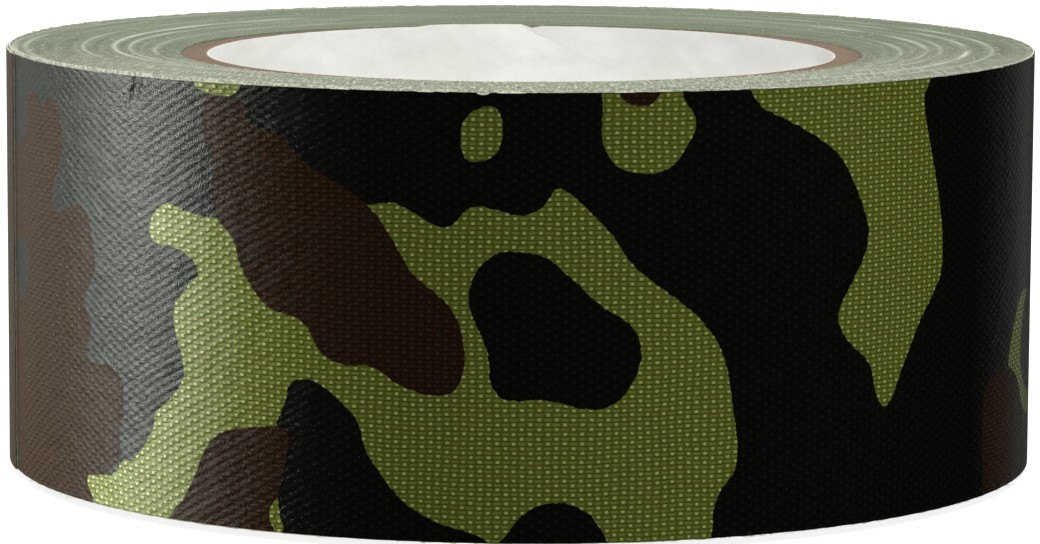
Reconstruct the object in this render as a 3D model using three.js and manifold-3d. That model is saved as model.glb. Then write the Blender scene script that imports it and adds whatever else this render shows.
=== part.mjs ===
// A roll of woven-cloth duct tape on a spirally wound paperboard core, lying on its side.
//
// Frame: millimetres, +Z up along the roll's axis, origin on the axis at the core's lower end.
// Angles are measured round the axis from the front (-Y) towards the right (+X), in degrees.
//
// The core is six paper plies. Each ply is one slanted strip, wound so that its long edges almost meet in a
// helical butt seam. The tape is one strip as well: printed film, woven scrim and adhesive. Its inner turns
// are one ring-shaped body, and its outermost turn and its free end are modelled layer by layer. The free
// end peels off about the line where the flap meets the outermost turn.

import * as THREE from 'three';
import { mergeVertices } from 'three/addons/utils/BufferGeometryUtils.js';
import Module from 'manifold-3d';

// ---- Driving dimensions (mm, degrees) -------------------------------------------------------------------

const ROLL_RADIUS = 62.5;
const TAPE_WIDTH = 50;
const TURN_PITCH = 0.28;
const FILM_THICKNESS = 0.07;
const SCRIM_THICKNESS = 0.11;
const LAYER_GAP = 0.01;

const BORE_RADIUS = 38.1;
const CORE_LENGTH = 50;
const LINER_THICKNESS = 0.25;
const BOARD_PLY_THICKNESS = 0.68;
const BOARD_PLY_COUNT = 4;
const OUTER_PLY_THICKNESS = 0.25;
const FIRST_TURN_GAP = 0.02;

// The turns near the core sit lower than the outer ones, because the core has been pushed through a little.
const OUTER_TURNS_LIFT = 1.0;
const INNER_TURNS_LIFT = 0.2;
const FLAT_FACE_RADIUS = 50;

// Every ring has its facets on the same angles, so that thin layers lie against each other.
const SEGMENTS = 120;
const STEP = 360 / SEGMENTS;
const FREE_END_ANGLE = -75;
const FLAP_SEGMENTS = 9;
const FLAP_ROOT_GAP = 0.05;

// A seam climbs the core in this many segments, and is one segment wide.
const SEAM_SEGMENTS = 57;
const LINER_SEAM_ANGLE = 9;
const SEAM_STAGGER = 69;

// ---- Colours and finishes -------------------------------------------------------------------------------

const FILM = { color: 0x101412, roughness: 0.32, metalness: 0 };
const SCRIM = { color: 0xb9bfa8, roughness: 0.9, metalness: 0 };
const ADHESIVE = { color: 0x8e9a84, roughness: 0.6, metalness: 0 };
const TURNS = { color: 0x93a08c, roughness: 0.85, metalness: 0 };
const WHITE_PAPER = { color: 0xe9ebe4, roughness: 0.85, metalness: 0 };
const BROWN_BOARD = { color: 0x97826a, roughness: 0.9, metalness: 0 };
const KRAFT_PAPER = { color: 0x8b7459, roughness: 0.85, metalness: 0 };

// ---- Helpers --------------------------------------------------------------------------------------------

const wasm = await Module();
wasm.setup();

// The point at a radius and an angle from the front, seen from above.
function polar(radius, angle) {
  const turn = THREE.MathUtils.degToRad(angle);
  return new THREE.Vector2(radius * Math.sin(turn), -radius * Math.cos(turn));
}

function makeMesh(name, geometry, finish) {
  const mesh = new THREE.Mesh(geometry, new THREE.MeshStandardMaterial(finish));
  mesh.name = name;
  return mesh;
}

// A strip bent round the axis. Each section has its inner and outer point and its bottom and top height. The
// sections run towards larger angles, and one with no height is a pointed end.
function bentStrip(sections) {
  const positions = [];
  const corners = sections.map(({ inner, outer, bottom, top }) => [
    new THREE.Vector3(inner.x, inner.y, bottom),
    new THREE.Vector3(outer.x, outer.y, bottom),
    new THREE.Vector3(outer.x, outer.y, top),
    new THREE.Vector3(inner.x, inner.y, top),
  ]);
  const addTriangle = (a, b, c) => {
    if (a.equals(b) || b.equals(c) || c.equals(a)) return;
    positions.push(...a, ...b, ...c);
  };
  const addQuad = (a, b, c, d) => {
    addTriangle(a, b, c);
    addTriangle(a, c, d);
  };
  for (let index = 1; index < corners.length; index += 1) {
    const near = corners[index - 1];
    const far = corners[index];
    for (let side = 0; side < near.length; side += 1) {
      const next = (side + 1) % near.length;
      addQuad(near[side], far[side], far[next], near[next]);
    }
  }
  const first = corners[0];
  const last = corners[corners.length - 1];
  addQuad(first[0], first[1], first[2], first[3]);
  addQuad(last[3], last[2], last[1], last[0]);
  const geometry = new THREE.BufferGeometry();
  geometry.setAttribute('position', new THREE.BufferAttribute(new Float32Array(positions), 3));
  return geometry;
}

function toSolid(geometry) {
  const bare = geometry.clone();
  bare.deleteAttribute('normal');
  bare.deleteAttribute('uv');
  const welded = mergeVertices(bare, 1e-4);
  return new wasm.Manifold(new wasm.Mesh({
    numProp: 3,
    vertProperties: new Float32Array(welded.attributes.position.array),
    triVerts: new Uint32Array(welded.index.array),
  }));
}

function toGeometry(solid) {
  const mesh = solid.getMesh();
  const geometry = new THREE.BufferGeometry();
  geometry.setAttribute('position', new THREE.BufferAttribute(new Float32Array(mesh.vertProperties), 3));
  geometry.setIndex(new THREE.BufferAttribute(new Uint32Array(mesh.triVerts), 1));
  return geometry;
}

// ---- Core -----------------------------------------------------------------------------------------------

// One slanted strip of paper wound into a tube: it starts as a point at the lower end and stops as a point
// at the upper end, and in between its top edge climbs to meet its own bottom edge across the seam.
function corePly(name, innerRadius, thickness, seamAngle, finish) {
  const rise = CORE_LENGTH / SEAM_SEGMENTS;
  const sections = [];
  for (let segment = 0; segment < SEGMENTS + SEAM_SEGMENTS; segment += 1) {
    const angle = seamAngle + segment * STEP;
    sections.push({
      inner: polar(innerRadius, angle),
      outer: polar(innerRadius + thickness - LAYER_GAP, angle),
      bottom: Math.max(0, (segment + 1 - SEGMENTS) * rise),
      top: Math.min(CORE_LENGTH, segment * rise),
    });
  }
  return makeMesh(name, bentStrip(sections), finish);
}

function makeCore() {
  const core = new THREE.Group();
  let radius = BORE_RADIUS;
  let seamAngle = LINER_SEAM_ANGLE;
  core.add(corePly('core_liner', radius, LINER_THICKNESS, seamAngle, WHITE_PAPER));
  radius += LINER_THICKNESS;
  for (let ply = 1; ply <= BOARD_PLY_COUNT; ply += 1) {
    seamAngle += SEAM_STAGGER;
    core.add(corePly(`core_board_ply_${ply}`, radius, BOARD_PLY_THICKNESS, seamAngle, BROWN_BOARD));
    radius += BOARD_PLY_THICKNESS;
  }
  seamAngle += SEAM_STAGGER;
  core.add(corePly('core_outer_ply', radius, OUTER_PLY_THICKNESS, seamAngle, KRAFT_PAPER));
  return core;
}

// ---- Tape -----------------------------------------------------------------------------------------------

const CORE_RADIUS = BORE_RADIUS + LINER_THICKNESS + BOARD_PLY_COUNT * BOARD_PLY_THICKNESS
  + OUTER_PLY_THICKNESS;

// The strip's layers, each as the depth of its outer and its inner side below the strip's outside.
const SCRIM_DEPTH = FILM_THICKNESS + LAYER_GAP;
const ADHESIVE_DEPTH = SCRIM_DEPTH + SCRIM_THICKNESS + LAYER_GAP;
const STRIP_LAYERS = [
  ['film', 0, FILM_THICKNESS, FILM],
  ['scrim', SCRIM_DEPTH, SCRIM_DEPTH + SCRIM_THICKNESS, SCRIM],
  ['adhesive', ADHESIVE_DEPTH, TURN_PITCH - LAYER_GAP, ADHESIVE],
];

// A point of the strip, this many segments back from its free end, at a depth below its outside. The strip
// runs back from the end towards smaller angles, and a full turn back it is one pitch further in.
function stripPoint(segmentsBack, depth) {
  const radius = ROLL_RADIUS - TURN_PITCH * segmentsBack / SEGMENTS - depth;
  return polar(radius, FREE_END_ANGLE - segmentsBack * STEP);
}

// The inner turns: a ring whose outside follows the spiral, with the step under the flap's root.
function makeWoundTurns() {
  const outline = [];
  for (let segment = SEGMENTS; segment >= 0; segment -= 1) {
    outline.push(stripPoint(FLAP_SEGMENTS + segment, TURN_PITCH));
  }
  const upright = { depth: TAPE_WIDTH + 2 * OUTER_TURNS_LIFT, bevelEnabled: false };
  const spiral = new THREE.ExtrudeGeometry(new THREE.Shape(outline), upright);
  const innerRadius = CORE_RADIUS + FIRST_TURN_GAP;
  const beyond = ROLL_RADIUS + TURN_PITCH;
  const profile = [
    [innerRadius, INNER_TURNS_LIFT],
    [FLAT_FACE_RADIUS, OUTER_TURNS_LIFT],
    [beyond, OUTER_TURNS_LIFT],
    [beyond, OUTER_TURNS_LIFT + TAPE_WIDTH],
    [FLAT_FACE_RADIUS, OUTER_TURNS_LIFT + TAPE_WIDTH],
    [innerRadius, INNER_TURNS_LIFT + TAPE_WIDTH],
    [innerRadius, INNER_TURNS_LIFT],
  ];
  const points = profile.map(([radius, height]) => new THREE.Vector2(radius, height));
  const dished = new THREE.LatheGeometry(points, SEGMENTS).rotateX(Math.PI / 2);
  return makeMesh('wound_turns', toGeometry(toSolid(dished).intersect(toSolid(spiral))), TURNS);
}

// A stretch of the strip, layer by layer. The gap keeps its root clear of the stretch that it continues.
function makeStretch(prefix, firstSegment, segmentCount, rootGap) {
  const stretch = new THREE.Group();
  for (const [layer, outerDepth, innerDepth, finish] of STRIP_LAYERS) {
    const sections = [];
    for (let segment = firstSegment + segmentCount; segment >= firstSegment; segment -= 1) {
      sections.push({
        inner: stripPoint(segment, innerDepth),
        outer: stripPoint(segment, outerDepth),
        bottom: OUTER_TURNS_LIFT,
        top: OUTER_TURNS_LIFT + TAPE_WIDTH,
      });
    }
    const [root, next] = sections;
    const share = rootGap / root.outer.distanceTo(next.outer);
    root.inner.lerp(next.inner, share);
    root.outer.lerp(next.outer, share);
    stretch.add(makeMesh(`${prefix}_${layer}`, bentStrip(sections), finish));
  }
  return stretch;
}

// ---- The roll -------------------------------------------------------------------------------------------

const roll = new THREE.Group();
roll.add(makeCore());
roll.add(makeWoundTurns());
roll.add(makeStretch('outer_turn', FLAP_SEGMENTS, SEGMENTS, 0));
roll.add(makeStretch('end_flap', 0, FLAP_SEGMENTS, FLAP_ROOT_GAP));

export default roll;
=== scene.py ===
"""Looks for a roll of woven-cloth duct tape with a camouflage print, on its paperboard core.

Lengths are in millimetres until a mesh is made, which is in metres. Angles are measured round the axis from
the front (-Y) towards the right (+X). A place along the strip is an angle that doesn't wrap: it starts under
the flap at -102 degrees, and the free end is at 285 degrees, which is -75 degrees on the roll.
"""

import math

import bpy
import numpy as np
from mathutils import Matrix, Vector


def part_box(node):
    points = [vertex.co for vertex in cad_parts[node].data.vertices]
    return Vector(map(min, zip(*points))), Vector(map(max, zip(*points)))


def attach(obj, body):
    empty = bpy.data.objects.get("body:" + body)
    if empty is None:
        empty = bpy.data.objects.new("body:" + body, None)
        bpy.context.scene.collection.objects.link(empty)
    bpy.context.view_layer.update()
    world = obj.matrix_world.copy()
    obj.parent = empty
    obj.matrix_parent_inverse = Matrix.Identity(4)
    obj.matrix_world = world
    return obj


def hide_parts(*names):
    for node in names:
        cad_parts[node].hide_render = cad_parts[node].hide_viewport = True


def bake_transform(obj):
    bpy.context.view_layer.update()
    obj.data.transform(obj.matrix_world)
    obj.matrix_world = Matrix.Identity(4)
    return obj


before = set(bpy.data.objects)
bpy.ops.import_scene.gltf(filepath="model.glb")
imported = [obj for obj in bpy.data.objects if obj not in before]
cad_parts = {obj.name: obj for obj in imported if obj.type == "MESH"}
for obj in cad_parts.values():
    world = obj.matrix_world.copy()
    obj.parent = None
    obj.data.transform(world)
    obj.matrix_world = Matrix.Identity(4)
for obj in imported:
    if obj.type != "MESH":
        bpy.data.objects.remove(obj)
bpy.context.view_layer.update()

# ---- Dimensions (mm, degrees) ----------------------------------------------------------------------------

MM = 0.001
TAPE_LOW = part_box("outer_turn_film")[0].z / MM
TAPE_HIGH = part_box("outer_turn_film")[1].z / MM
TAPE_WIDTH = TAPE_HIGH - TAPE_LOW
CORE_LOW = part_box("core_liner")[0].z / MM
CORE_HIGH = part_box("core_liner")[1].z / MM
CORE_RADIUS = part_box("core_outer_ply")[1].x / MM
LINER_THICKNESS = 0.24
LINER_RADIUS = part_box("core_liner")[1].x / MM - LINER_THICKNESS

ROLL_RADIUS = 62.5
TURN_PITCH = 0.28
FILM_THICKNESS = 0.07
SCRIM_THICKNESS = 0.11
LAYER_GAP = 0.01
SCRIM_DEPTH = FILM_THICKNESS + LAYER_GAP
ADHESIVE_DEPTH = SCRIM_DEPTH + SCRIM_THICKNESS + LAYER_GAP

STRIP_START = -102.0
FLAP_ROOT = 258.0
STRIP_END = 285.0

FLAT_FACE_RADIUS = 50.0
FACE_DISH = 0.8

# The cloth's threads: how far apart they are, and how far they wander, in radians of their pattern.
WARP_PITCH = 0.52
WEFT_PITCH = 0.94
THREAD_WANDER = 3.0
THREAD_JITTER = 0.9


# ---- Mesh helpers ----------------------------------------------------------------------------------------

def polar(radius, angle, height):
    """Points at a radius, an angle in degrees from the front and a height, as rows of x, y and z."""
    turn = np.radians(angle)
    return np.stack([radius * np.sin(turn), -radius * np.cos(turn), height + 0 * turn], axis=-1)


def ripple(turn, seed, slowest, fastest, count):
    """A smooth random wave from -1 to 1 that repeats every full turn. The turn is in degrees."""
    rng = np.random.default_rng(seed)
    orders = rng.integers(slowest, fastest + 1, count)
    phases = rng.uniform(0, 2 * math.pi, count)
    weights = rng.uniform(0.5, 1.0, count)
    angle = np.radians(turn)
    total = sum(w * np.cos(n * angle + p) for w, n, p in zip(weights, orders, phases))
    return total / weights.sum() * 2


def smooth_step(value, low, high):
    share = np.clip((value - low) / (high - low), 0, 1)
    return share * share * (3 - 2 * share)


def grid_quads(index):
    """The four corners of each cell of a two-dimensional array of point numbers."""
    corners = [index[:-1, :-1], index[1:, :-1], index[1:, 1:], index[:-1, 1:]]
    return np.stack(corners, axis=-1).reshape(-1, 4)


def make_piece(name, points, quads, values, weld=None, sharp_angle=40):
    """A mesh object from points in mm and faces of four corners, or of three where two corners in a row are
    the same. The values are kept at the faces' corners, so that they may jump where a closed ring meets
    itself. Weld gives each point the number of the point that it is merged into."""
    if weld is None:
        weld = np.arange(len(points))
    used, corners = np.unique(weld[quads], return_inverse=True)
    corners = corners.reshape(-1, 4)
    placed = points[used]
    a, b, c, d = (placed[corners[:, side]] for side in range(4))
    volume = (np.cross(b - a, c - a) * a).sum() + (np.cross(c - a, d - a) * a).sum()
    if volume < 0:
        corners = corners[:, ::-1]
        quads = quads[:, ::-1]
    kept = corners != np.roll(corners, -1, axis=1)
    counts = kept.sum(axis=1)
    starts = np.concatenate([[0], np.cumsum(counts)[:-1]])
    mesh = bpy.data.meshes.new(name)
    mesh.vertices.add(len(placed))
    mesh.vertices.foreach_set("co", (placed * MM).astype(np.float32).ravel())
    mesh.loops.add(int(counts.sum()))
    mesh.loops.foreach_set("vertex_index", corners[kept].astype(np.int32))
    mesh.polygons.add(len(corners))
    mesh.polygons.foreach_set("loop_start", starts.astype(np.int32))
    mesh.update(calc_edges=True)
    for key, value in values.items():
        layer = mesh.attributes.new(key, "FLOAT", "CORNER")
        layer.data.foreach_set("value", value[quads][kept].astype(np.float32))
    mesh.polygons.foreach_set("use_smooth", np.ones(len(corners), dtype=bool))
    mesh.set_sharp_from_angle(angle=math.radians(sharp_angle))
    if mesh.validate():
        raise ValueError(f"{name} has a broken face")
    piece = bpy.data.objects.new(name, mesh)
    bpy.context.scene.collection.objects.link(piece)
    return piece


def box_lattice(along, across, depth, shift=0):
    """The points and faces of a box's sides. Each point has its place along, across and deep, as three
    arrays. With a shift, each face's upper edge is that many points behind its lower edge, so that faces on a
    slanted strip still stand upright."""
    counts = (len(along), len(across), len(depth))
    u, v, w = (part.ravel() for part in np.meshgrid(along, across, depth, indexing="ij"))
    index = np.arange(u.size).reshape(counts)
    lower = np.minimum(np.arange(counts[0] + shift), counts[0] - 1)
    upper = np.maximum(np.arange(counts[0] + shift) - shift, 0)

    def upright(side):
        edges = (np.stack([side[lower, j], side[upper, j + 1]], axis=1) for j in range(counts[1] - 1))
        return np.concatenate([grid_quads(edge) for edge in edges])

    faces = [
        upright(index[:, :, 0])[:, ::-1], upright(index[:, :, -1]),
        grid_quads(index[:, 0, :]), grid_quads(index[:, -1, :])[:, ::-1],
        grid_quads(index[0]), grid_quads(index[-1])[:, ::-1],
    ]
    return (u, v, w), np.concatenate(faces)


def finish_piece(piece, material, body, slot, *nodes):
    """Gives a piece its material, body and replaced nodes; the slot is not used. A blended piece has no body
    here.
    """
    piece.data.materials.append(material)
    if body:
        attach(piece, body)
    if nodes:
        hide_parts(*nodes)


# ---- Node helpers ----------------------------------------------------------------------------------------

class Finish:
    """A material, and the short ways to add nodes to it. Every pattern is laid out in millimetres."""

    def __init__(self, name, roughness, specular):
        self.material = bpy.data.materials.new(name)
        self.material.use_nodes = True
        self.tree = self.material.node_tree
        self.shader = self.tree.nodes["Principled BSDF"]
        self.shader.inputs["Roughness"].default_value = roughness
        self.shader.inputs["Specular IOR Level"].default_value = specular

    def add(self, kind, inputs=(), **settings):
        made = self.tree.nodes.new(kind)
        for key, value in settings.items():
            setattr(made, key, value)
        for key, value in dict(inputs).items():
            self.put(made.inputs[key], value)
        return made

    def put(self, socket, value):
        if isinstance(value, bpy.types.NodeSocket):
            self.tree.links.new(value, socket)
        else:
            socket.default_value = value

    def calc(self, operation, *values):
        return self.add("ShaderNodeMath", dict(enumerate(values)), operation=operation).outputs[0]

    def times(self, first, second):
        return self.calc("MULTIPLY", first, second)

    def plus(self, first, second):
        return self.calc("ADD", first, second)

    def minus(self, first, second):
        return self.calc("SUBTRACT", first, second)

    def attribute(self, name):
        return self.add("ShaderNodeAttribute", attribute_name=name).outputs["Fac"]

    def vector(self, x=0.0, y=0.0, z=0.0):
        return self.add("ShaderNodeCombineXYZ", {"X": x, "Y": y, "Z": z}).outputs[0]

    def noise(self, vector, scale=1.0, detail=2.0, roughness=0.5):
        inputs = {"Vector": vector, "Scale": scale, "Detail": detail, "Roughness": roughness}
        return self.add("ShaderNodeTexNoise", inputs).outputs["Fac"]

    def spread(self, value, low, high, to_low=0.0, to_high=1.0):
        """The value taken smoothly from one range to another, and kept in it."""
        inputs = {"Value": value, "From Min": low, "From Max": high, "To Min": to_low, "To Max": to_high}
        made = self.add("ShaderNodeMapRange", inputs, interpolation_type="SMOOTHSTEP")
        return made.outputs["Result"]

    def mix(self, factor, first, second):
        made = self.add("ShaderNodeMix", data_type="RGBA")
        self.put(made.inputs["Factor"], factor)
        self.put(made.inputs["A"], first)
        self.put(made.inputs["B"], second)
        return made.outputs["Result"]

    def colour(self, value):
        self.put(self.shader.inputs["Base Color"], value)

    def bump(self, height):
        """Relief from a height in millimetres."""
        made = self.add("ShaderNodeBump", {"Height": height, "Distance": MM, "Strength": 1.0})
        self.put(self.shader.inputs["Normal"], made.outputs["Normal"])
        self.put(self.shader.inputs["Coat Normal"], made.outputs["Normal"])


def rgb(red, green, blue):
    """A colour as a display shows it, from 0 to 255, made linear."""
    def linear(part):
        share = part / 255
        return share / 12.92 if share <= 0.04045 else ((share + 0.055) / 1.055) ** 2.4
    return (linear(red), linear(green), linear(blue), 1.0)


# ---- Camera ----------------------------------------------------------------------------------------------

CAMERA_DISTANCE = 584.2
CAMERA_HEIGHT = 100.26
CAMERA_PITCH = 0.1314
CAMERA_ROLL = 0.005
LENS = 166.15
SENSOR = 36.0

camera = bpy.data.objects.new("camera", bpy.data.cameras.new("camera"))
bpy.context.scene.collection.objects.link(camera)
bpy.context.scene.camera = camera
camera.data.sensor_width = SENSOR
camera.data.lens = LENS
camera.data.clip_start = 0.01
camera.data.clip_end = 50
camera.matrix_world = (
    Matrix.Translation((0, -CAMERA_DISTANCE * MM, CAMERA_HEIGHT * MM))
    @ Matrix.Rotation(math.pi / 2 - CAMERA_PITCH, 4, "X")
    @ Matrix.Rotation(CAMERA_ROLL, 4, "Z")
)

# ---- Stage and light -------------------------------------------------------------------------------------

# Metres, and strengths. The sky is white to the camera and dimmer as a light.
FLOOR_SIZE = 12.0
FLOOR_GREY = 0.35
FLOOR_GLOW = 0.84
AMBIENT = 0.45
AIM_HEIGHT = 0.03
SHEEN_COLOUR = (0.97, 1.05, 0.94)

bpy.context.scene.view_settings.view_transform = "Standard"

world = bpy.data.worlds.new("studio")
bpy.context.scene.world = world
world.use_nodes = True
world.cycles_visibility.glossy = False
sky = world.node_tree.nodes["Background"]
sky.inputs["Color"].default_value = (1, 1, 1, 1)
seen = world.node_tree.nodes.new("ShaderNodeLightPath")
level = world.node_tree.nodes.new("ShaderNodeMapRange")
level.inputs["To Min"].default_value = AMBIENT
level.inputs["To Max"].default_value = 1.0
world.node_tree.links.new(seen.outputs["Is Camera Ray"], level.inputs["Value"])
world.node_tree.links.new(level.outputs["Result"], sky.inputs["Strength"])

half = FLOOR_SIZE / 2
floor_mesh = bpy.data.meshes.new("floor")
floor_corners = [(-half, -half, 0), (half, -half, 0), (half, half, 0), (-half, half, 0)]
floor_mesh.from_pydata(floor_corners, [], [(0, 1, 2, 3)])
floor = bpy.data.objects.new("floor", floor_mesh)
bpy.context.scene.collection.objects.link(floor)
floor_finish = Finish("floor_white", 0.9, 0.0)
floor_finish.colour((FLOOR_GREY, FLOOR_GREY, FLOOR_GREY, 1))
floor_finish.shader.inputs["Emission Color"].default_value = (1, 1, 1, 1)
floor_finish.shader.inputs["Emission Strength"].default_value = FLOOR_GLOW
floor_mesh.materials.append(floor_finish.material)
floor.visible_glossy = False
floor.visible_diffuse = False

# The lights at the sides light the printed film alone. Two others light the bore's paper alone, and the cloth
# of the outermost turn and the flap's cloth and adhesive alone.
film_only = bpy.data.collections.new("film_only")
bore_only = bpy.data.collections.new("bore_only")
rim_only = bpy.data.collections.new("rim_only")


def softbox(name, azimuth, elevation, distance, width, height, radiance, receivers=None):
    """An area light at this angle round the axis and above the floor, in metres, facing the roll."""
    data = bpy.data.lights.new(name, "AREA")
    data.shape = "RECTANGLE"
    data.size = width
    data.size_y = height
    data.energy = radiance * math.pi * width * height
    light = bpy.data.objects.new(name, data)
    bpy.context.scene.collection.objects.link(light)
    reach = distance * math.cos(math.radians(elevation))
    where = Vector(polar(reach, azimuth, distance * math.sin(math.radians(elevation))))
    aim = Vector((0, 0, AIM_HEIGHT))
    light.location = where
    light.rotation_mode = "QUATERNION"
    light.rotation_quaternion = (aim - where).to_track_quat("-Z", "Y")
    light.visible_camera = False
    if receivers:
        light.light_linking.receiver_collection = receivers
    return light


# Each light has its azimuth, elevation, distance, width, height and radiance. These give the soft light.
softbox("top_softbox", 30, 80, 1.2, 1.2, 1.2, 4.5)
softbox("left_soft", -111, 14, 1.0, 0.6, 1.0, 50.0, film_only).visible_glossy = False
softbox("right_soft", 64, 20, 1.0, 0.7, 0.8, 2.2, film_only).visible_glossy = False
softbox("bore_soft", 0, 89, 0.9, 1.4, 1.4, 0.9, bore_only)
softbox("rim_soft", -70, 25, 1.0, 0.6, 0.6, 4.5, rim_only)

# These give the slightly green sheen on the film.
for name, azimuth, elevation, distance, width, height, radiance in (
    ("left_sheen", -90, 16, 1.0, 0.28, 1.0, 11.2),
    ("left_edge_sheen", -124, 10, 1.0, 0.93, 0.8, 0.38),
    ("left_rim_sheen", -164, 8, 1.2, 0.6, 0.8, 0.16),
    ("right_edge_sheen", 152, 10, 1.2, 0.36, 1.2, 0.12),
):
    sheen = softbox(name, azimuth, elevation, distance, width, height, radiance, film_only)
    sheen.visible_diffuse = False
    sheen.data.color = SHEEN_COLOUR

# ---- The printed pattern ---------------------------------------------------------------------------------

# Each outline is a closed smooth curve through these points: mm along the strip from the front, and mm above
# the tape's lower edge. Most of the points were traced from the real print as it is seen from the front, and
# were turned into mm by a separate program.
OUTLINES = {
    "big_green": [
        (-56, -3), (-56.7, 0), (-58.2, 2.3), (-58.4, 2.9), (-57.8, 3.2), (-55.8, 3.4), (-53.4, 3.7),
        (-51.8, 4.7), (-50.7, 5.9), (-49.4, 5.8), (-47.5, 7.6), (-45.7, 10), (-45.2, 12), (-42.6, 14.1),
        (-40.8, 17),
        (-42.4, 23.4), (-40.6, 26.4), (-38.6, 28.5), (-40, 30.2), (-42.3, 31.1), (-45.3, 31.4),
        (-46.2, 33.3), (-44.6, 35.4), (-43.2, 36), (-40, 35.2), (-36, 34.9), (-26, 36), (-16, 37.5),
        (-13.5, 37.5), (-8.5, 35), (-6, 37), (-4.5, 37.5), (0, 36.5), (2.5, 37.5), (4, 39.5), (6, 38.5),
        (10, 34.5), (13, 30.5), (19.5, 25.5), (23, 21), (24.3, 15.5), (25, 8.5), (23, 5.3), (22.2, 3),
        (22, 0.4), (21.6, -2), (18, -4),
    ],
    "green_cap": [
        (-40, 53), (-39.2, 49.8), (-37.5, 48.9), (-35, 48.4), (-33.5, 48.9), (-32.8, 49.8), (-32, 53),
    ],
    "green_spot": [
        (-3.5, 48.5), (-2.3, 47.8), (-2, 45), (-3, 43), (-4.5, 42.5), (-6.2, 42.8), (-6.6, 46), (-5.5, 47.7),
    ],
    "green_patch": [
        (9.8, 53), (9, 47.5), (9.2, 44), (11, 41.7), (14, 41), (16.5, 41.5), (18.2, 43.2), (19.7, 46.5),
        (18.2, 49.3), (17.2, 53),
    ],
    "right_green": [
        (25.2, 53), (26.5, 49.5), (28, 47.8), (31.2, 46.3), (35.3, 44.1), (38.8, 41.2), (42.2, 34.8),
        (42.4, 32.3), (41.6, 29.9), (38.7, 25.4), (38.2, 23.3), (39.9, 20.8), (42.9, 18.2), (44.2, 14.2),
        (46, 13.2), (48.5, 17.5), (51.5, 22.5), (55, 27), (55.5, 31), (54.5, 36.5), (52, 45), (51.5, 48),
        (52, 53),
    ],
    "green_crescent": [
        (84.5, 22.3), (79.5, 22), (76, 18.5), (74, 14.6), (76, 13.5), (78.5, 12), (81, 9), (85, 7), (91, 7),
        (91, 9), (85, 10), (82, 11.5), (80, 14), (80.2, 17.5), (82, 20.5),
    ],
    "long_brown": [
        (-37.3, 48.5), (-38, 45), (-36.6, 41), (-36.3, 35.5), (-33.8, 32.7), (-32.6, 29.4), (-29.5, 25.5),
        (-25, 24), (-22.5, 20.5), (-19.5, 19.4), (-16.5, 19.3), (-13.5, 17.5), (-10, 16.4), (-7.2, 17),
        (-6, 20.5), (-7, 25), (-9, 27.5), (-12, 30), (-14.5, 34), (-16.5, 36.7), (-19.5, 39),
        (-24.5, 41.7), (-27.5, 44.5),
        (-31, 45.5), (-32.3, 47.3), (-33.5, 48.6), (-35.5, 48.6),
    ],
    "low_brown": [
        (-26, 12), (-26.3, 9), (-26.9, 6.2), (-27.6, 4.5), (-28.6, 3.2), (-29.1, 1.8), (-28.4, 0.2),
        (-27.4, -3), (-45.5, -3), (-43.4, 0), (-40.8, 2.8), (-39.2, 5.6), (-37.8, 8.4), (-36.3, 10.1),
        (-34.2, 11.1), (-29.1, 11.9),
    ],
    "left_brown": [
        (-78, 45.3), (-74, 45.8), (-72.6, 46.3), (-71.2, 46), (-69.3, 44.9), (-68, 45.9), (-67.1, 46.2),
        (-65.9, 45.8), (-64.7, 44.9), (-63.9, 43.2), (-63.7, 40.4), (-65.1, 37.5), (-66.5, 35.4),
        (-66.2, 33.6),
        (-64.7, 33), (-62.1, 33.8), (-59.3, 34.3), (-57.6, 32.9), (-56.2, 27.5), (-58.5, 23.5), (-57.1, 20.6),
        (-58.1, 17.4), (-57, 16.4), (-53.6, 16.4), (-51.1, 14.9), (-50.8, 11.6), (-51.6, 8.5), (-51.2, 6.3),
        (-53.2, 4.4), (-55.8, 3.4), (-58.4, 2.8), (-56.7, 0), (-56, -3), (-97, -3), (-99, 20), (-96, 38),
        (-88, 45),
    ],
    "brown_cap": [(9.8, 53), (10.6, 50.3), (12, 48.7), (14, 48.5), (15.2, 49.3), (16.2, 53)],
    "brown_lobe": [
        (65.5, 10), (66.5, 12.5), (69.5, 14.2), (73, 14), (76.5, 13.2), (79.5, 11), (81.8, 7), (84, -3),
        (68, -3), (66, 3),
    ],
    "low_black": [
        (-28.2, 12.1), (-27.5, 13.5), (-26.9, 15.2), (-26.5, 16.7), (-25.4, 17.5), (-22.5, 17), (-18.5, 13.5),
        (-17, 9.5), (-13, 4.5), (-8.5, 2), (-4, 0.5), (-2, -3), (-26.8, -3), (-27.2, 0.4), (-27.7, 2),
        (-28, 3.4), (-27.9, 4.5), (-27.3, 6.6), (-26.8, 9), (-26.6, 11.4),
    ],
    "hole_black": [
        (0, 32.5), (-2.5, 32.3), (-5, 30), (-5.6, 26.5), (-3.6, 21.5), (-3.2, 18), (-1.5, 16), (3, 16),
        (8, 14.9),
        (11.5, 16.2), (13.6, 20.5), (12.6, 24), (9, 26.5), (5, 30.2), (2.5, 32),
    ],
    "bump_black": [(-3, -3), (-1.2, 1.2), (0.9, 3.6), (4, 4.6), (6.7, 3.9), (8.8, 2), (10, -3)],
    "edge_black": [(-75.5, 46.5), (-75.4, 42), (-77.5, 40), (-80.5, 39.5), (-82.5, 42), (-82, 46)],
    "side_black": [
        (-81.5, 28), (-78, 28.5), (-75, 27.3), (-75.2, 24.5), (-76.5, 22), (-78.5, 21), (-81.5, 23.5),
    ],
}

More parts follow.
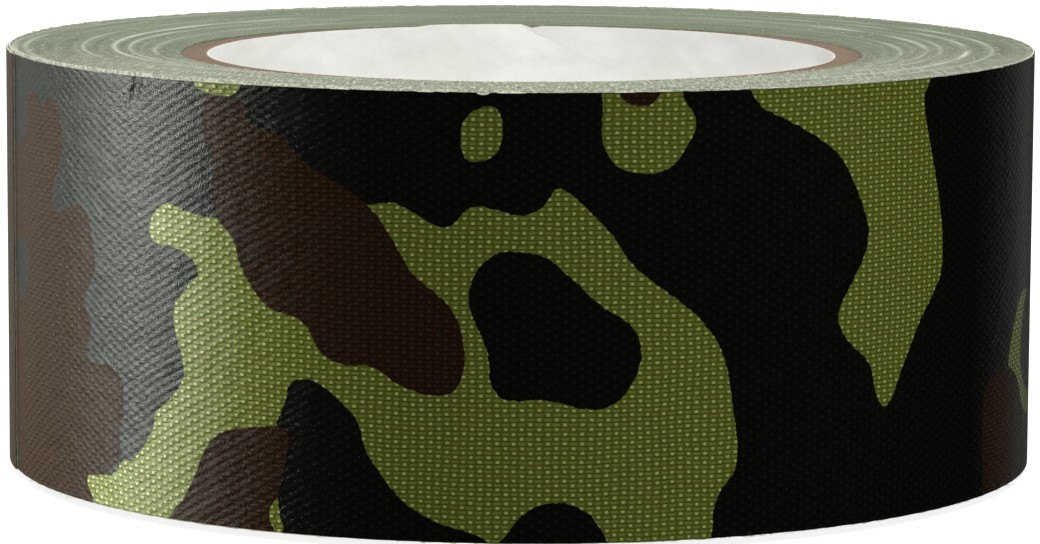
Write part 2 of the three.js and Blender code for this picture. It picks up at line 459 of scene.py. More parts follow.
# Where each outline is printed: its ink, how each copy is turned over, and how far along it is moved.
STRAIGHT, TURNED, MIRRORED = (1, 1), (-1, -1), (-1, 1)
PRINT = {
    "green": [
        ("big_green", STRAIGHT, 0), ("green_cap", STRAIGHT, 0), ("green_spot", STRAIGHT, 0),
        ("green_patch", STRAIGHT, 0), ("right_green", STRAIGHT, 0), ("green_crescent", STRAIGHT, 0),
        ("big_green", TURNED, 181), ("right_green", MIRRORED, 157), ("green_patch", TURNED, 150),
        ("green_spot", TURNED, 136), ("green_crescent", TURNED, 180),
    ],
    "brown": [
        ("long_brown", STRAIGHT, 0), ("low_brown", STRAIGHT, 0), ("left_brown", STRAIGHT, 0),
        ("brown_cap", STRAIGHT, 0), ("brown_lobe", STRAIGHT, 0),
        ("long_brown", TURNED, 181), ("low_brown", TURNED, 181), ("left_brown", MIRRORED, 218),
        ("brown_lobe", TURNED, 204), ("long_brown", MIRRORED, 112), ("left_brown", TURNED, 222),
        ("right_green", TURNED, 296),
    ],
    "black": [
        ("low_black", STRAIGHT, 0), ("hole_black", STRAIGHT, 0), ("bump_black", STRAIGHT, 0),
        ("edge_black", STRAIGHT, 0), ("side_black", STRAIGHT, 0),
        ("low_black", TURNED, 181), ("hole_black", TURNED, 181), ("bump_black", TURNED, 181),
    ],
}
FAR_OUTSIDE = -4.0
CURVE_STEPS = 7


def smooth_outline(points):
    """A closed curve through all of the points, as a closely spaced polygon."""
    here = np.array(points, float)
    before, after, beyond = (np.roll(here, shift, axis=0) for shift in (1, -1, -2))
    t = (np.arange(CURVE_STEPS) / CURVE_STEPS)[:, None, None]
    curve = 0.5 * (
        2 * here
        + (after - before) * t
        + (2 * before - 5 * here + 4 * after - beyond) * t**2
        + (3 * here - before - 3 * after + beyond) * t**3
    )
    return curve.transpose(1, 0, 2).reshape(-1, 2)


def inside_distance(x, y, outline):
    """How far each point is inside an outline, and below zero outside it."""
    depth = np.full(x.shape, FAR_OUTSIDE)
    low = outline.min(0) + FAR_OUTSIDE
    high = outline.max(0) - FAR_OUTSIDE
    near = (x > low[0]) & (x < high[0]) & (y > low[1]) & (y < high[1])
    px, py = x[near], y[near]
    closest = np.full(px.shape, np.inf)
    inside = np.zeros(px.shape, bool)
    for (ax, ay), (bx, by) in zip(outline, np.roll(outline, -1, axis=0)):
        dx, dy = bx - ax, by - ay
        share = np.clip(((px - ax) * dx + (py - ay) * dy) / (dx * dx + dy * dy), 0, 1)
        closest = np.minimum(closest, (px - ax - share * dx) ** 2 + (py - ay - share * dy) ** 2)
        if ay != by:
            inside ^= ((ay > py) != (by > py)) & (px < ax + (py - ay) * dx / dy)
    depth[near] = np.maximum(np.where(inside, 1, -1) * np.sqrt(closest), FAR_OUTSIDE)
    return depth


def print_values(arc, height):
    """How deep in each ink's shapes each point of the strip is."""
    values = {}
    for ink, copies in PRINT.items():
        deepest = np.full(arc.shape, FAR_OUTSIDE)
        for shape, (sign_along, sign_up), along in copies:
            outline = smooth_outline(OUTLINES[shape])
            outline[:, 0] = along + sign_along * outline[:, 0]
            if sign_up < 0:
                outline[:, 1] = TAPE_WIDTH - outline[:, 1]
            deepest = np.maximum(deepest, inside_distance(arc, height, outline))
        values[ink] = deepest
    return values


# ---- Materials -------------------------------------------------------------------------------------------

def weave(finish, arc, height):
    """The cloth's threads under the film: where a warp thread passes over a weft thread, and the profiles of
    the rows and of the columns. The threads wander a little."""
    drift = finish.noise(finish.vector(arc, height), 0.12, 2.0)
    jitter = finish.noise(finish.vector(arc, height, 7.0), 0.55, 2.0)
    drift = finish.plus(finish.times(drift, THREAD_WANDER), finish.times(jitter, THREAD_JITTER))
    across = finish.noise(finish.vector(arc, height, 31.0), 0.15, 2.0)
    x = finish.plus(finish.times(arc, math.pi / WEFT_PITCH), drift)
    y = finish.times(height, math.pi / WARP_PITCH)
    y = finish.plus(y, finish.times(across, THREAD_WANDER))
    row = finish.calc("COSINE", y)
    column = finish.calc("COSINE", x)
    over = finish.times(column, row)
    return over, finish.calc("ABSOLUTE", row), finish.calc("ABSOLUTE", column)


# The crease in the film: mm along the strip and above its lower edge, and how far it leans for each mm down.
CREASE_ARC = -48.0
CREASE_TOP = 49.4
CREASE_LEAN = 0.28
CREASE_HALF_WIDTH = 1.3
CREASE_DEPTH = 0.19

# How high the film's relief stands, in mm.
WEAVE_RELIEF = 0.021
ROW_RELIEF = 0.005
SPECKLE_RELIEF = 0.068
WAVE_RELIEF = 0.12

# The clear gloss over the inks: brown ink dulls it, and green ink adds to it. Both inks are a little rougher
# than the black film.
COAT_WEIGHT = 0.62
COAT_LOST_ON_BROWN = 0.5
COAT_GAINED_ON_GREEN = 0.22
COAT_ROUGHNESS = 0.2
INK_ROUGHNESS = 0.04

# How far the print's edges wander, in mm.
PRINT_WOBBLE = 0.5


def thread_marks_and_shading(finish, over, row, column):
    """The cloth under the ink: bright dots, ridges with darker gaps between, and dashes, partly painted
    highlight and shade.
    """
    dot = finish.times(finish.spread(column, 0.66, 0.95), finish.spread(over, 0.3, 0.85))
    ridge = finish.times(finish.spread(row, 0.05, 0.6), finish.spread(column, 0.0, 0.4, 0.5, 1.0))
    dash = finish.times(finish.spread(over, -0.05, -0.5), finish.spread(row, 0.5, 0.95))
    return dot, ridge, dash


def green_ink(finish, arc, height, patchy, weave_marks_and_shading):
    dot, ridge, dash = weave_marks_and_shading
    # Partly the ink over the threads and partly painted light: the lighter ridges, dashes and dots are
    # painted highlight on the raised threads, and the darker gaps between them are painted shade.
    green = finish.mix(ridge, rgb(51, 57, 8), rgb(75, 81, 22))
    green = finish.mix(finish.times(dash, 0.8), green, rgb(99, 106, 44))
    green = finish.mix(finish.times(dot, 0.86), green, rgb(150, 157, 90))
    streaks = finish.noise(finish.vector(finish.times(arc, 0.25), height), 0.9, 2.0)
    tinted = finish.spread(streaks, 0.5, 0.8)
    green = finish.mix(finish.times(tinted, 0.35), green, rgb(88, 68, 12))
    return finish.mix(finish.times(patchy, 0.3), green, rgb(76, 90, 22))


def brown_ink(finish, speckle, weave_marks_and_shading):
    dot, ridge, dash = weave_marks_and_shading
    # Partly the ink over the threads and partly painted light: the lighter ridges, dashes and dots are
    # painted highlight on the raised threads, and the darker gaps between them are painted shade.
    brown = finish.mix(ridge, rgb(18, 10, 4), rgb(32, 19, 8))
    brown = finish.mix(finish.times(dash, 0.4), brown, rgb(44, 27, 14))
    brown = finish.mix(finish.times(dot, 0.6), brown, rgb(60, 38, 21))
    return finish.mix(finish.times(speckle, 0.3), brown, rgb(24, 13, 5))


def film_gloss(finish, place):
    """The roughness and the coat's weight. Both change where there is green or brown ink."""
    green_area, brown_area, black_area = (
        finish.spread(finish.attribute(ink), -0.1, 0.1) for ink in ("green", "brown", "black")
    )
    inked_area = finish.minus(1.0, black_area)
    plain = finish.spread(finish.noise(place, 0.7, 3.0), 0.3, 0.75, 0.17, 0.23)
    inked = finish.plus(finish.times(brown_area, INK_ROUGHNESS), plain)
    inked = finish.plus(finish.times(green_area, INK_ROUGHNESS), inked)
    gloss = finish.plus(plain, finish.times(finish.minus(inked, plain), inked_area))
    browned = finish.times(brown_area, inked_area)
    greened = finish.times(finish.times(green_area, inked_area), finish.minus(1.0, browned))
    coat = finish.minus(COAT_WEIGHT, finish.times(browned, COAT_LOST_ON_BROWN))
    coat = finish.plus(coat, finish.times(greened, COAT_GAINED_ON_GREEN))
    return gloss, coat


def film_relief(finish, arc, height, place, speckle, over, row):
    """The weave, fine speckles, slow waves and a short crease near the upper edge, at the left."""
    relief = finish.times(over, WEAVE_RELIEF)
    relief = finish.plus(relief, finish.times(row, ROW_RELIEF))
    relief = finish.plus(relief, finish.times(speckle, SPECKLE_RELIEF))
    relief = finish.plus(relief, finish.times(finish.noise(place, 0.35, 2.0), WAVE_RELIEF))
    lean = finish.times(finish.minus(CREASE_TOP, height), CREASE_LEAN)
    offset = finish.calc("ABSOLUTE", finish.minus(finish.plus(arc, lean), CREASE_ARC))
    near_top = finish.spread(height, CREASE_TOP - 4, CREASE_TOP - 1)
    dent = finish.times(finish.spread(offset, CREASE_HALF_WIDTH, 0.0), near_top)
    return finish.minus(relief, finish.times(dent, CREASE_DEPTH))


def printed_film_finish():
    finish = Finish("printed_film", 0.36, 0.2)
    arc, height = finish.attribute("arc"), finish.attribute("height")
    over, row, column = weave(finish, arc, height)
    place = finish.vector(arc, height)
    wobble = finish.times(finish.minus(finish.noise(place, 1.1, 3.0), 0.5), PRINT_WOBBLE)
    speckle = finish.noise(place, 5.2, 2.0)
    patchy = finish.noise(place, 0.09, 3.0)
    weave_marks_and_shading = thread_marks_and_shading(finish, over, row, column)
    green = green_ink(finish, arc, height, patchy, weave_marks_and_shading)
    brown = brown_ink(finish, speckle, weave_marks_and_shading)
    # The black film's faint lighter dots are partly painted highlight on the raised thread crossings.
    black = finish.mix(weave_marks_and_shading[0], rgb(9, 9, 6), rgb(17, 18, 13))

    colour = black
    for ink, paint in (("green", green), ("brown", brown), ("black", black)):
        edge = finish.plus(finish.attribute(ink), wobble)
        colour = finish.mix(finish.spread(edge, -0.05, 0.06), colour, paint)
    finish.colour(colour)

    gloss, coat = film_gloss(finish, place)
    finish.put(finish.shader.inputs["Roughness"], gloss)
    finish.put(finish.shader.inputs["Coat Weight"], coat)
    finish.shader.inputs["Coat Roughness"].default_value = COAT_ROUGHNESS
    finish.bump(film_relief(finish, arc, height, place, speckle, over, row))
    return finish.material


def thread_finish(name, bright, dark):
    """Cut cotton threads: pale, with darker gaps along the layer."""
    finish = Finish(name, 0.85, 0.25)
    arc, height = finish.attribute("arc"), finish.attribute("height")
    place = finish.vector(arc, height)
    fibres = finish.noise(place, 2.2, 4.0, 0.65)
    finish.colour(finish.mix(finish.spread(fibres, 0.35, 0.65), dark, bright))
    finish.bump(finish.times(fibres, 0.06))
    return finish.material


def adhesive_finish():
    finish = Finish("adhesive", 0.42, 0.4)
    arc, height = finish.attribute("arc"), finish.attribute("height")
    over, row, _ = weave(finish, arc, height)
    place = finish.vector(arc, height)
    smear = finish.noise(place, 0.5, 4.0, 0.6)
    colour = finish.mix(finish.spread(smear, 0.3, 0.7), rgb(168, 174, 158), rgb(192, 196, 180))
    colour = finish.mix(finish.times(finish.spread(over, 0.2, 1.0), 0.35), colour, rgb(214, 214, 200))
    finish.colour(colour)
    relief = finish.plus(finish.times(over, 0.02), finish.times(smear, 0.08))
    relief = finish.plus(relief, finish.times(row, 0.01))
    finish.bump(relief)
    return finish.material


def wound_finish():
    """The cut edges of the turns: film, threads and adhesive, again and again."""
    finish = Finish("wound_tape", 0.78, 0.3)
    turn, arc, radius = finish.attribute("turn"), finish.attribute("arc"), finish.attribute("radius")
    pale, frayed = finish.attribute("pale"), finish.attribute("frayed")
    # This share is 1 at the front and falls to 0 at the sides; towards the front the face gets more relief
    # and burrs.
    uneven = finish.plus(0.3, finish.times(frayed, 0.7))
    layer = finish.calc("FRACT", turn)
    number = finish.calc("FLOOR", turn)

    def stretched(first, first_scale, second, second_scale, *detail):
        """Noise that is laid out along two values, each with its own scale."""
        place = finish.vector(finish.times(first, first_scale), finish.times(second, second_scale))
        return finish.noise(place, 1.0, *detail)

    per_turn = stretched(number, 3.7, arc, 0.03, 2.0)
    along = stretched(arc, 1.6, turn, 1.5, 3.0, 0.6)
    burr = stretched(arc, 2.4, radius, 0.35, 2.0, 0.6)
    broad = stretched(arc, 0.05, radius, 0.9, 3.0)
    threads = finish.times(finish.spread(layer, 0.22, 0.36), finish.spread(layer, 0.74, 0.62))
    film = finish.spread(layer, 0.24, 0.12)
    colour = finish.mix(finish.spread(per_turn, 0.3, 0.7), rgb(97, 104, 84), rgb(118, 125, 104))
    colour = finish.mix(finish.times(film, 0.35), colour, rgb(84, 94, 72))
    lit = finish.times(finish.times(threads, finish.spread(along, 0.36, 0.7)), uneven)
    colour = finish.mix(finish.times(lit, 0.85), colour, rgb(190, 193, 175))
    colour = finish.mix(finish.times(finish.spread(broad, 0.45, 0.75), 0.35), colour, rgb(94, 104, 84))
    # Paler towards the front, where this share is highest.
    colour = finish.mix(finish.times(frayed, 0.25), colour, rgb(180, 184, 166))
    bright_burr = finish.times(finish.spread(burr, 0.5, 0.72), finish.times(uneven, 0.65))
    colour = finish.mix(bright_burr, colour, rgb(206, 210, 194))
    dark_burr = finish.times(finish.spread(burr, 0.45, 0.3), finish.times(uneven, 0.55))
    colour = finish.mix(dark_burr, colour, rgb(74, 84, 64))
    # Painted highlight: the turns that stand proud are made paler.
    colour = finish.mix(finish.times(pale, 0.8), colour, rgb(206, 212, 196))
    finish.colour(colour)
    relief = finish.plus(finish.times(along, 0.1), finish.times(threads, 0.02))
    relief = finish.plus(relief, finish.times(burr, 0.15))
    finish.bump(finish.times(relief, uneven))
    return finish.material


def board_finish(name, light, dark, fleck):
    """Grey-brown paperboard with short fibres."""
    finish = Finish(name, 0.88, 0.2)
    arc, height, depth = finish.attribute("arc"), finish.attribute("height"), finish.attribute("depth")
    place = finish.vector(arc, height, finish.times(depth, 3.0))
    fibres = finish.noise(place, 1.6, 4.0, 0.65)
    colour = finish.mix(finish.spread(fibres, 0.32, 0.68), dark, light)
    flecks = finish.noise(place, 4.5, 2.0)
    colour = finish.mix(finish.times(finish.spread(flecks, 0.62, 0.75), 0.6), colour, fleck)
    finish.colour(colour)
    finish.bump(finish.times(fibres, 0.1))
    return finish.material


def paper_finish():
    finish = Finish("white_paper", 0.8, 0.25)
    arc, height, depth = finish.attribute("arc"), finish.attribute("height"), finish.attribute("depth")
    place = finish.vector(arc, height)
    soft = finish.noise(place, 0.06, 3.0)
    fibres = finish.noise(place, 1.3, 4.0, 0.6)
    colour = finish.mix(finish.spread(soft, 0.35, 0.65), rgb(243, 243, 238), rgb(249, 249, 245))
    colour = finish.mix(finish.times(finish.spread(fibres, 0.5, 0.8), 0.25), colour, rgb(212, 212, 202))
    cut_edge = finish.spread(depth, LINER_RADIUS + 0.01, LINER_RADIUS + 0.06)
    finish.colour(finish.mix(cut_edge, colour, rgb(160, 151, 134)))
    relief = finish.plus(finish.times(fibres, 0.02), finish.times(soft, 1.2))
    finish.bump(relief)
    return finish.material


FILM = printed_film_finish()
SCRIM = thread_finish("scrim_threads", rgb(226, 226, 206), rgb(150, 152, 132))
ADHESIVE = adhesive_finish()
WOUND = wound_finish()
BOARD = board_finish("brown_board", rgb(141, 122, 104), rgb(104, 88, 74), rgb(168, 150, 130))
KRAFT = board_finish("kraft_paper", rgb(132, 112, 90), rgb(98, 82, 64), rgb(152, 134, 110))
PAPER = paper_finish()

# ---- The outermost turn and the flap ---------------------------------------------------------------------

def strip_radius(place):
    """The radius of the strip's outside at a place along it."""
    return ROLL_RADIUS - TURN_PITCH * (STRIP_END - place) / 360


# Each layer's outer and inner side, as depths below the strip's outside.
FILM_SIDES = (0, FILM_THICKNESS)
SCRIM_SIDES = (SCRIM_DEPTH, SCRIM_DEPTH + SCRIM_THICKNESS)
ADHESIVE_SIDES = (ADHESIVE_DEPTH, TURN_PITCH - LAYER_GAP)


def strip_layer(
    name, first, last, sides, step, rows, seed, edge_rise=0.0, raggedness=0.03, fray=0.0, printed=False
):
    """One layer of a stretch of the strip. Its long edges are a little ragged, they can rise past the tape's
    edges, most of all at the front left, and its free end can be frayed."""
    along = np.linspace(first, last, int(round((last - first) / step)) + 1)
    across = np.linspace(0, 1, rows + 1)
    depth = np.array(sides)
    (u, v, w), quads = box_lattice(along, across, depth)
    height = v * TAPE_WIDTH
    ragged = raggedness * ripple(u, seed, 25, 170, 40) + 0.4 * raggedness * ripple(u, seed + 1, 2, 9, 6)
    share_up = np.where(v > 0.5, 2 * v - 1, 0.5 * v - 0.25)
    towards_front_left = np.clip(np.cos(np.radians(u + 55)), 0, 1) ** 2
    lift = edge_rise * share_up * (0.35 + 0.65 * towards_front_left)
    height = height + smooth_step(v, 0.9, 1.0) * ragged - smooth_step(v, 0.1, 0.0) * ragged + lift
    place = u.copy()
    if fray:
        share = smooth_step(u, last - 2 * step, last)
        place = u + share * fray * ripple(height * 7.2, seed + 2, 2, 60, 40) / math.radians(ROLL_RADIUS)
    points = polar(strip_radius(place) - w, place, TAPE_LOW + height)
    arc = np.radians(place) * ROLL_RADIUS
    values = {"arc": arc, "height": height, "depth": w}
    if printed:
        values.update(print_values(arc, height))
    return make_piece(name, points, quads, values)


film = strip_layer(
    "printed_film", STRIP_START, FLAP_ROOT, FILM_SIDES, step=0.5, rows=64, seed=11, printed=True
)
finish_piece(film, FILM, "roll", "printed_film", "outer_turn_film")
film_only.objects.link(film)
scrim = strip_layer(
    "scrim_cloth", STRIP_START, FLAP_ROOT, SCRIM_SIDES, step=0.25, rows=12, seed=21,
    edge_rise=0.42, raggedness=0.1,
)
finish_piece(scrim, SCRIM, "roll", "scrim", "outer_turn_scrim")
rim_only.objects.link(scrim)
adhesive = strip_layer(
    "adhesive_coat", STRIP_START, FLAP_ROOT, ADHESIVE_SIDES, step=0.5, rows=12, seed=31,
    edge_rise=0.28, raggedness=0.08,
)
finish_piece(adhesive, ADHESIVE, "roll", "adhesive", "outer_turn_adhesive")

FLAP_ROOT_GAP = 0.05
FLAP_FIRST = FLAP_ROOT + math.degrees(FLAP_ROOT_GAP / ROLL_RADIUS)
SHORT_END = STRIP_END - 0.15
FLAP_STEP = 0.45


def flap_layer(name, material, slot, node, receivers, last, sides, **shape):
    """A layer of the free end, the part of the strip that is lifted from the outermost turn. It has no body
    here.
    """
    layer = strip_layer(name, FLAP_FIRST, last, sides, FLAP_STEP, **shape)
    finish_piece(layer, material, None, slot, node)
    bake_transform(layer)
    receivers.objects.link(layer)


flap_layer(
    "flap_film", FILM, "printed_film", "end_flap_film", film_only, STRIP_END, FILM_SIDES,
    rows=64, seed=41, raggedness=0.03, fray=0.03, printed=True,
)
flap_layer(
    "flap_scrim", SCRIM, "scrim", "end_flap_scrim", rim_only, SHORT_END, SCRIM_SIDES,
    rows=96, seed=51, edge_rise=0.05, raggedness=0.07, fray=0.1,
)
flap_layer(
    "flap_adhesive", ADHESIVE, "adhesive", "end_flap_adhesive", rim_only, SHORT_END, ADHESIVE_SIDES,
    rows=64, seed=61, edge_rise=0.02, raggedness=0.04, fray=0.05,
)

# ---- The wound turns -------------------------------------------------------------------------------------

TURN_COUNT = 73
SECTIONS = 300
FIRST_TURN_GAP = 0.03

# Turns that stand a little proud of the face, with a painted highlight that shows as pale rings: radius,
# strength and the angle where they are strongest.
PROUD_TURNS = [
    (61.95, 1.3, -48), (61.4, 0.7, -40), (60.2, 0.5, -80), (57.2, 0.6, 90), (54.2, 0.9, 100),
    (53.3, 0.5, -85), (51.0, 0.4, 80), (49.5, 0.9, -95), (49.2, 0.5, 95), (47.6, 0.6, -88),
    (46.2, 0.5, 85), (44.6, 0.4, -95),
]
PROUD_HALF_WIDTH = 0.3
PROUD_HEIGHT = 0.07
UNEVEN_HEIGHT = 0.02
MOST_UNEVEN = 0.16
CREST_HEIGHT = 0.02
GROOVE_DEPTH = 0.05
FACE_DROP = 0.02
UNDERSIDE_SHIFT = 37
UNDERSIDE_SHARE = 0.8
FIRST_TURN_NUMBER = 1000


def face_height(radius):
    """How far the side face is below its outer, flat part."""
    share = np.clip((FLAT_FACE_RADIUS - radius) / (FLAT_FACE_RADIUS - CORE_RADIUS), 0, 1)
    return -FACE_DISH * share


def wound_turns():
    """A closed ring whose faces carry the spiral of cut edges. One step of its grid inwards is half a pitch,
    so that one turn's last section meets the next turn's first."""
    angle = np.linspace(STRIP_START, FLAP_ROOT, SECTIONS + 1)
    halves = np.arange(2 * TURN_COUNT + 1)
    outside = strip_radius(angle) - TURN_PITCH
    innermost = CORE_RADIUS + FIRST_TURN_GAP
    pitch = (outside[0] - innermost) / TURN_COUNT
    step_of_turn = pitch * (angle - STRIP_START) / 360
    i, j = np.meshgrid(np.arange(SECTIONS + 1), halves, indexing="ij")
    radius = outside[0] + step_of_turn[i] - pitch * j / 2
    radius[:, 0] = outside
    turns_in = TURN_COUNT - (j / 2 - (angle[i] - STRIP_START) / 360)
    rng = np.random.default_rng(5)
    offsets = rng.normal(0, 1, TURN_COUNT + 3)
    slow = ripple(angle[i] + 40 * np.sin(turns_in * 0.9), 8, 1, 5, 6)
    along_spiral = np.interp(turns_in, np.arange(TURN_COUNT + 3), offsets)
    proud = np.zeros(radius.shape)
    for ring, strength, where in PROUD_TURNS:
        window = 0.15 + 0.85 * np.clip(np.cos(np.radians(angle[i] - where)), 0, 1) ** 2
        broken = 0.7 + 0.5 * ripple(angle[i], int(ring * 10), 3, 24, 10)
        ridge = np.exp(-((radius - ring) / PROUD_HALF_WIDTH) ** 2)
        proud += strength * window * np.clip(broken, 0, 1.3) * ridge
    crest = np.where(j % 2 == 1, CREST_HEIGHT, -GROOVE_DEPTH)
    lift = UNEVEN_HEIGHT * along_spiral + UNEVEN_HEIGHT * slow + crest + PROUD_HEIGHT * proud
    lift = np.clip(lift, -MOST_UNEVEN, MOST_UNEVEN) - FACE_DROP
    top = TAPE_HIGH + face_height(radius) + lift
    drop = np.roll(lift, UNDERSIDE_SHIFT, axis=0) * UNDERSIDE_SHARE
    bottom = TAPE_LOW + face_height(radius) - drop
    bottom[-1, 2:] = bottom[0, :-2]
    arc = np.radians(angle[i]) * radius
    upper = polar(radius, angle[i], top).reshape(-1, 3)
    lower = polar(radius, angle[i], bottom).reshape(-1, 3)
    size = radius.size
    index = np.arange(size).reshape(radius.shape)
    weld = index.copy()
    weld[-1, 2:] = index[0, :-2]
    both = np.concatenate([weld.ravel(), weld.ravel() + size])
    faces = [grid_quads(index), grid_quads(index)[:, ::-1] + size]
    walls = ((index[:, 0], True), (index[:, -1], False), (index[-1, :3], True), (index[0, -3:], False))
    for line, flip in walls:
        wall = grid_quads(np.stack([line, line + size], axis=1))
        faces.append(wall[:, ::-1] if flip else wall)
    values = {
        "turn": FIRST_TURN_NUMBER - turns_in,
        "arc": arc,
        "radius": radius,
        # Where the painted highlight of the proud turns goes.
        "pale": np.clip(proud, 0, 1),
        # 1 at the front, falling to 0 at the sides: the face is paler and rougher towards the front.
        "frayed": smooth_step(np.cos(np.radians(angle[i])), 0.0, 0.9),
    }
    values = {key: np.tile(value.ravel(), 2) for key, value in values.items()}
    points = np.concatenate([upper, lower])
    return make_piece("wound_turns_spiral", points, np.concatenate(faces), values, both, 75)


turns = wound_turns()
finish_piece(turns, WOUND, "roll", "wound_tape", "wound_turns")

# ---- The core --------------------------------------------------------------------------------------------

SEAM_CLIMB = 171.0
SEAM_STAGGER = 69.0
LINER_SEAM_ANGLE = 9.0
BOARD_PLY_COUNT = 4


def ply(name, inner, outer, seam, gap, rows, layers, end_noise, seed, rim=None):
    """A strip wound into a tube, with a slanted gap where its edges meet. Its cut ends are a little rough."""
    along = np.linspace(0, 1, 361)
    across = np.linspace(0, 1, rows + 1)
    depth = np.linspace(0, 1, layers + 1)
    (u, v, w), quads = box_lattice(along, across, depth, shift=round(SEAM_CLIMB / rows))
    height = CORE_LOW + v * (CORE_HIGH - CORE_LOW)
    opening = math.degrees(gap / inner)
    angle = seam + SEAM_CLIMB * v + opening / 2 + (360 - opening) * u
    fine = ripple(angle + 200 * w, seed, 20, 110, 40)
    coarse = ripple(angle - 90 * w, seed + 1, 3, 15, 8)
    rough = end_noise * (fine + 0.5 * coarse)
    height = height + np.where(v == 1, rough, 0) - np.where(v == 0, np.minimum(rough, 0), 0)
    if rim:
        height = height + smooth_step(v, 0.9, 1.0) * rim(angle)
    radius = inner + (outer - inner) * w
    points = polar(radius, angle, height)
    values = {"arc": np.radians(angle) * radius, "height": height, "depth": radius}
    return make_piece(name, points, quads, values)


def liner_rim(angle):
    """The white paper stands a little above the board at the back, torn, with one lap and one notch."""
    turned = angle % 360
    back = np.clip(-np.cos(np.radians(turned)), 0, 1)
    torn = ripple(turned, 77, 8, 60, 24)
    lap = smooth_step(turned, 178.7, 179.6) * smooth_step(turned, 200.5, 198)
    notch = smooth_step(turned, 176.5, 177.4) * smooth_step(turned, 179.3, 178.2)
    return back * (0.26 + 0.04 * torn + 0.22 * lap - 0.24 * notch)


seam = LINER_SEAM_ANGLE
inner = LINER_RADIUS + LINER_THICKNESS
liner = ply(
    "core_liner_paper", LINER_RADIUS, inner, seam, gap=0.03, rows=57, layers=1, end_noise=0.03, seed=101,
    rim=liner_rim,
)
finish_piece(liner, PAPER, "roll", "white_paper", "core_liner")
bore_only.objects.link(liner)
inner += LAYER_GAP
for number in range(1, BOARD_PLY_COUNT + 1):
    seam += SEAM_STAGGER
    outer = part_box(f"core_board_ply_{number}")[1].x / MM
    board = ply(
        f"board_ply_{number}", inner, outer, seam, gap=0.3, rows=19, layers=3, end_noise=0.035,
        seed=110 + number * 10,
    )
    finish_piece(board, BOARD, "roll", "brown_board", f"core_board_ply_{number}")
    inner = outer + LAYER_GAP
seam += SEAM_STAGGER
kraft = ply(
    "kraft_outer_ply", inner, CORE_RADIUS, seam, gap=0.2, rows=19, layers=1, end_noise=0.03, seed=170
)
finish_piece(kraft, KRAFT, "roll", "kraft_paper", "core_outer_ply")

# ---- Loose threads ---------------------------------------------------------------------------------------

THREAD_SIDES = 4
THREAD_RINGS = 6
FACE_FIBRES = 2600
FACE_FIBRE_RADII = (41.8, 62.2)
RIM_FIBRES = 500
RIM_FIBRE_RADII = (61.9, 62.35)
RIM_BIT_RADIUS = 62.42
HALF_THICKNESS = (0.015, 0.035)
FARTHEST_OUT = ROLL_RADIUS + 0.25


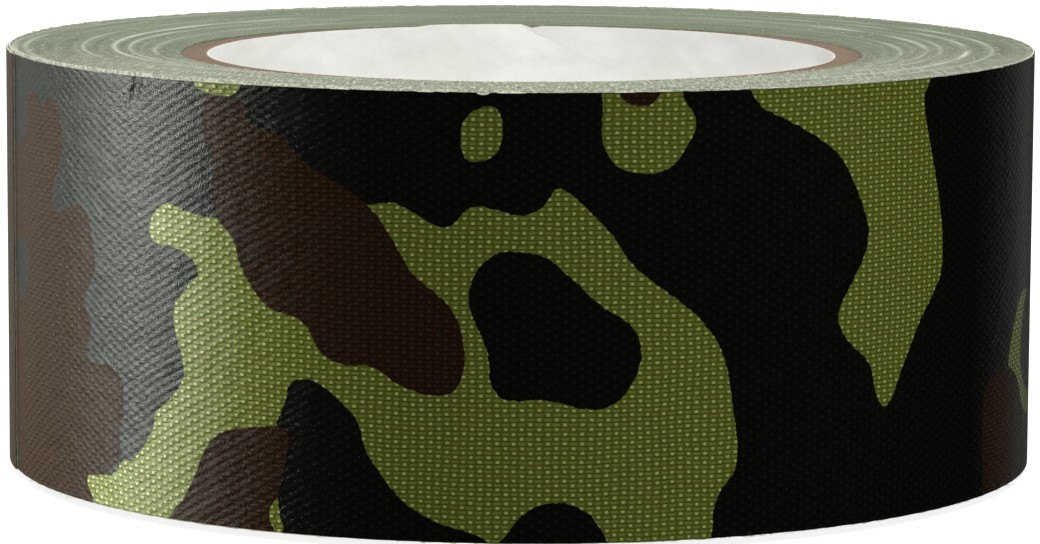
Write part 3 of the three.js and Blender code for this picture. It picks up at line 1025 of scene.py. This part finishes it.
def thread_paths():
    """The middle line of each loose fibre on the cut faces, and its half thickness."""
    rng = np.random.default_rng(3)
    paths = []

    def lay(radius, angle, face, length, thickness, slant, rise, bow):
        """A bowed fibre from a point on a face. Slant turns it from along the edge towards the outside."""
        t = np.linspace(0, 1, THREAD_RINGS)
        reach = length * t
        side = bow * np.sin(math.pi * t)
        outward = reach * math.sin(slant) + side * math.cos(slant)
        forward = reach * math.cos(slant) - side * math.sin(slant)
        r = np.minimum(radius + outward, FARTHEST_OUT)
        turned = angle + np.degrees(forward / radius)
        level = TAPE_HIGH if face > 0 else TAPE_LOW
        arch = np.sin(math.pi * np.clip(t * 0.8 + 0.1, 0, 1))
        z = level + face_height(r) + face * (0.01 + rise * arch)
        paths.append((polar(r, turned, z), thickness))

    for _ in range(FACE_FIBRES):
        face = 1 if rng.random() < 0.75 else -1
        radius = math.sqrt(rng.uniform(*np.square(FACE_FIBRE_RADII)))
        lay(
            radius, rng.normal(0, 55), face, rng.uniform(0.15, 0.6),
            rng.uniform(*HALF_THICKNESS), rng.uniform(-math.pi, math.pi), rng.uniform(0.03, 0.12),
            rng.uniform(-0.1, 0.1),
        )
    for _ in range(RIM_FIBRES):
        face = 1 if rng.random() < 0.7 else -1
        lay(
            rng.uniform(*RIM_FIBRE_RADII), rng.normal(0, 50), face, rng.uniform(0.3, 1.1),
            rng.uniform(*HALF_THICKNESS), rng.normal(0, 0.5), rng.uniform(0.03, 0.16),
            rng.uniform(-0.15, 0.15),
        )
    # The larger bits at the front rim: angle, length, half thickness, slant and rise.
    for angle, length, thickness, slant, rise in (
        (-2.4, 3.2, 0.10, 0.02, 0.02), (-4.4, 1.4, 0.10, 0.3, -0.16), (-34.5, 2.9, 0.08, 0.0, 0.08),
        (-30.0, 0.8, 0.08, 0.1, 0.10), (-19.6, 2.3, 0.08, 0.05, 0.08), (14.0, 1.4, 0.07, 0.2, 0.12),
        (26.0, 1.6, 0.07, -0.1, 0.10), (-47.0, 1.8, 0.08, 0.0, 0.10), (-10.5, 1.9, 0.07, 0.1, 0.04),
        (9.5, 2.2, 0.07, 0.02, 0.05),
    ):
        lay(RIM_BIT_RADIUS, angle, 1, length, thickness, slant, rise, 0.1)
    return paths


def loose_threads():
    """One piece with a thin bent tube along each fibre's path, thinner at its ends."""
    turn = 2 * math.pi * np.arange(THREAD_SIDES) / THREAD_SIDES
    points, quads, arcs = [], [], []
    for line, thickness in thread_paths():
        ahead = np.gradient(line, axis=0)
        ahead /= np.linalg.norm(ahead, axis=1)[:, None]
        side = np.cross(ahead, (0.0, 0.0, 1.0))
        side /= np.linalg.norm(side, axis=1)[:, None]
        up = np.cross(side, ahead)
        taper = thickness * np.array([0.45] + [1.0] * (THREAD_RINGS - 2) + [0.4])
        ring = side[:, None] * np.cos(turn)[None, :, None] + up[:, None] * np.sin(turn)[None, :, None]
        tube = line[:, None] + ring * taper[:, None, None]
        start = len(points) * THREAD_RINGS * THREAD_SIDES
        index = start + np.arange(THREAD_RINGS * THREAD_SIDES).reshape(THREAD_RINGS, THREAD_SIDES)
        wrapped = np.concatenate([index, index[:, :1]], axis=1)
        quads += [grid_quads(wrapped)[:, ::-1], index[:1, :], index[-1:, ::-1]]
        points.append(tube.reshape(-1, 3))
        arcs.append(np.repeat(np.linspace(0, 2, THREAD_RINGS) + start * 0.01, THREAD_SIDES))
    points = np.concatenate(points)
    arcs = np.concatenate(arcs)
    values = {"arc": arcs, "height": arcs * 0}
    return make_piece("loose_threads", points, np.concatenate(quads), values, sharp_angle=60)


FIBRE = thread_finish("cotton_fibre", rgb(222, 224, 208), rgb(176, 180, 160))
finish_piece(loose_threads(), FIBRE, "roll", "scrim")
